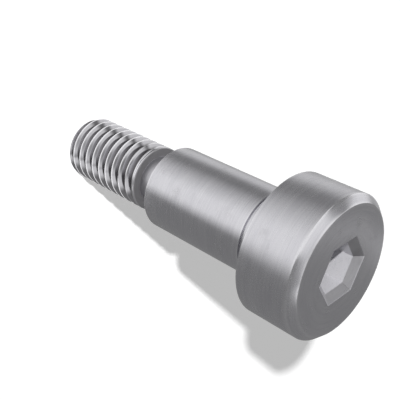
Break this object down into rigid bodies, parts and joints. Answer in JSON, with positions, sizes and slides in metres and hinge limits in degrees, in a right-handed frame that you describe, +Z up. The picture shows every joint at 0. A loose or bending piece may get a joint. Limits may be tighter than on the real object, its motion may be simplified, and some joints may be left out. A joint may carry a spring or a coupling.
{
  "type": "shoulder bolt",
  "caption": "Shoulder bolt with a cylindrical hexagon-socket head, a ground plain shoulder, a thread relief and a smaller right-hand M8 thread.",
  "frame": {"origin": "centre of the flat end of the thread, on the surface that the bolt stands on", "axes": "+Z up the bolt's own axis from the thread to the head, +X at right angles to two flats of the hexagon socket"},
  "size_m": [0.016, 0.016, 0.04],
  "materials": {
    "steel": "fine turned and ground steel, satin, bare"
  },
  "bodies": {
    "root": {"shoulder_bolt": "steel"}
  },
  "joints": []
}
